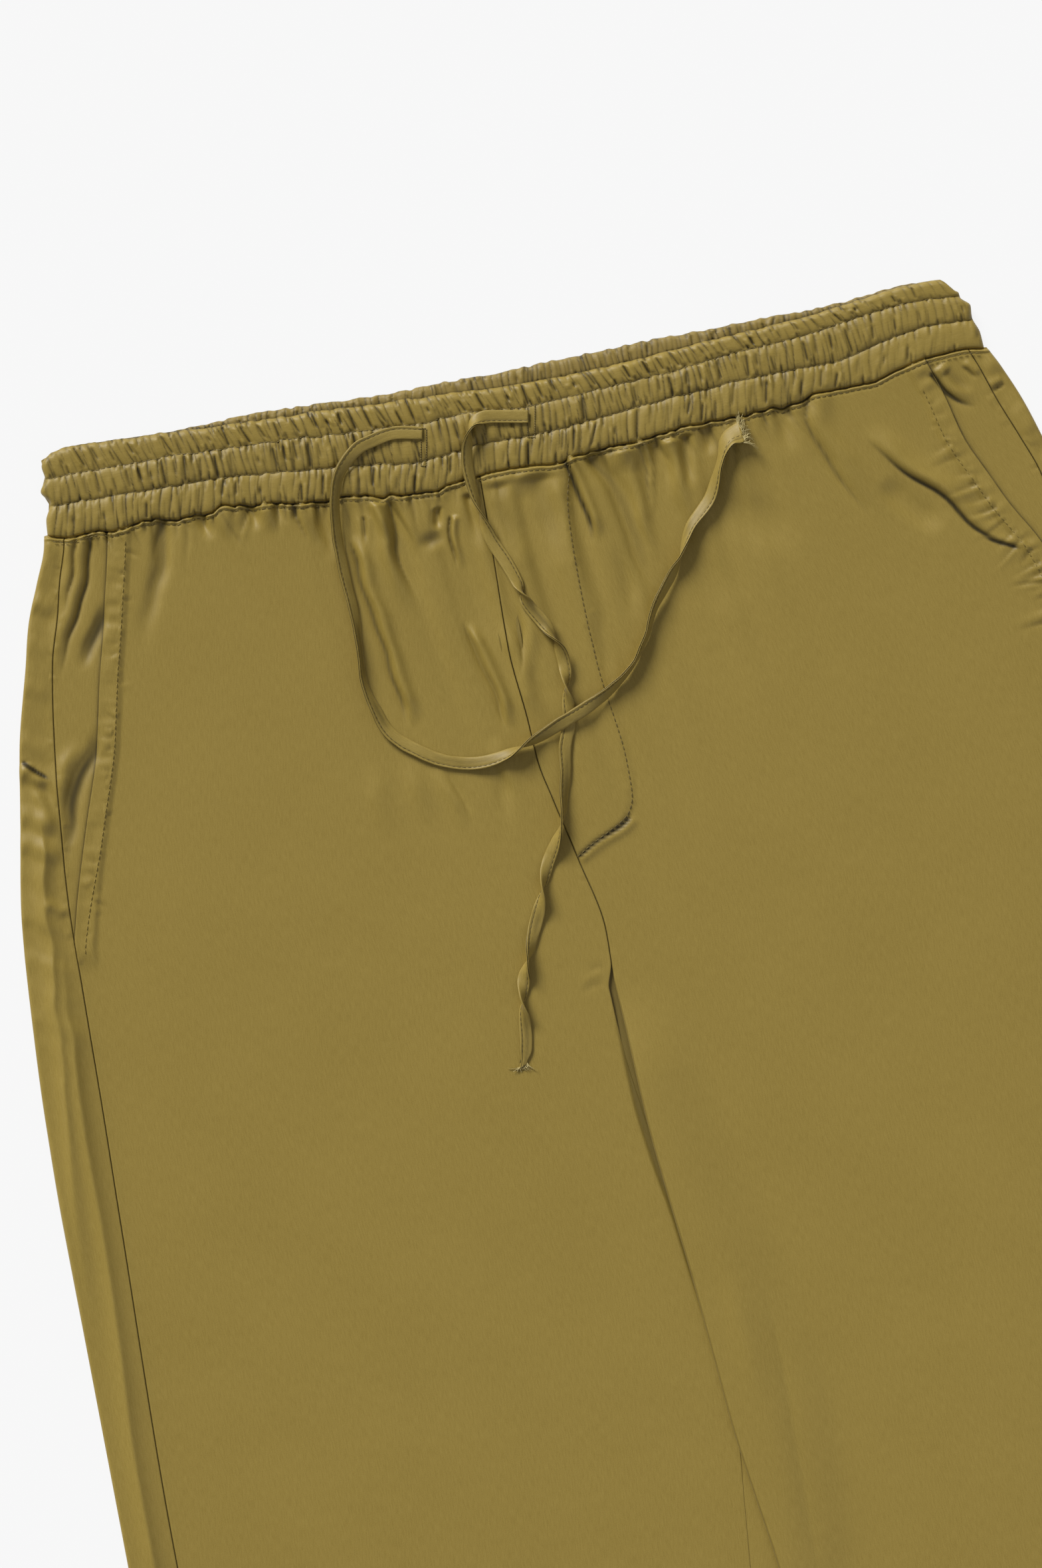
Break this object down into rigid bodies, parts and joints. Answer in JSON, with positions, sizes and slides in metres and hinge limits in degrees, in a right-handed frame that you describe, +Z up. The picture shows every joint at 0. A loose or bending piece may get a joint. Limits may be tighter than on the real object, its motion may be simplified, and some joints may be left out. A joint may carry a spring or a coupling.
{
  "type": "drawstring trousers",
  "caption": "Loose straight satin trousers laid flat, front up, with a gathered elastic waistband, a drawstring with free ends, slanted pockets and a mock fly.",
  "frame": {"origin": "middle of the garment's plan, on the surface that it lies on", "axes": "+Y towards the waist, +X towards the viewer's right, which is the wearer's left leg, +Z up"},
  "size_m": [0.533, 1.0379, 0.012],
  "materials": {
    "satin": "Woven polyester satin, soft sheen",
    "satin_inside": "The same satin seen on its duller inner side",
    "ribbon": "Drawstring of folded and edge-stitched satin"
  },
  "bodies": {
    "root": {"back_leg_right": "satin", "back_leg_left": "satin", "front_leg_right": "satin", "front_leg_left": "satin", "pocket_facing_right": "satin", "pocket_facing_left": "satin", "fly_facing": "satin_inside", "waistband_front": "satin", "waistband_back": "satin_inside", "drawstring_left": "ribbon", "drawstring_right": "ribbon"}
  },
  "joints": []
}
